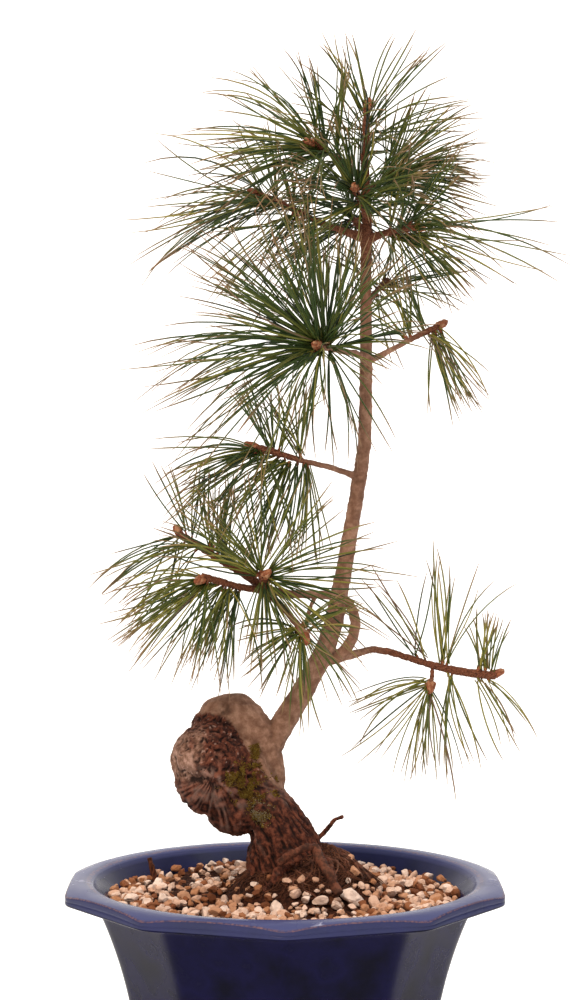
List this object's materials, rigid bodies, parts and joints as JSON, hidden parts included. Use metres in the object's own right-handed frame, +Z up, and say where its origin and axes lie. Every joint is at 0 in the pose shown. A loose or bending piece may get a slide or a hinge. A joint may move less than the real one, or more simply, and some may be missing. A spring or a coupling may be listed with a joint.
{
  "type": "potted bonsai pine",
  "caption": "Young five-needle pine bonsai with a curled swollen trunk base and long needle tufts, rooted in gravel in a ten-sided blue glazed pot with a scalloped rim.",
  "frame": {"origin": "centre of the pot's flat underside, on the axis of the pot", "axes": "+Z up, -Y towards the front that the tree is shown from, +X to the right seen from the front"},
  "size_m": [0.2978, 0.27, 0.6619],
  "materials": {
    "pot_glaze": "dark blue glossy glaze over stoneware",
    "mesh_plastic": "black moulded plastic mesh",
    "bark": "rough living pine bark, smoother and greyer on the upper wood",
    "moss": "short dry moss",
    "dead_wood": "dry brown stick",
    "soil": "dark fibrous root mass and soil",
    "gravel": "pale pumice and tan baked clay grains",
    "needles": "satin green pine needles with yellow tips"
  },
  "bodies": {
    "root": {"pot": "pot_glaze", "drain_mesh_left": "mesh_plastic", "drain_mesh_right": "mesh_plastic", "tree_wood": "bark", "moss_patch": "moss", "dead_stick": "dead_wood", "potting_soil": "soil", "gravel_layer": "gravel", "pebble_01": "gravel", "pebble_02": "gravel", "pebble_03": "gravel", "pebble_04": "gravel", "pebble_05": "gravel", "pebble_06": "gravel", "pebble_07": "gravel", "pebble_08": "gravel", "pebble_09": "gravel", "pebble_10": "gravel", "pebble_11": "gravel", "pebble_12": "gravel", "needles_apex": "needles", "needles_crown_left": "needles", "needles_crown_right": "needles", "needles_crown_front": "needles", "needles_whorl_left": "needles", "needles_whorl_right": "needles", "needles_whorl_back": "needles", "needles_back_right": "needles", "needles_mid_right": "needles", "needles_centre": "needles", "needles_mid_left": "needles", "needles_low_upper": "needles", "needles_low_outer": "needles", "needles_low_bud": "needles", "needles_low_inner": "needles", "needles_right_inner": "needles", "needles_right_tip": "needles"}
  },
  "joints": []
}
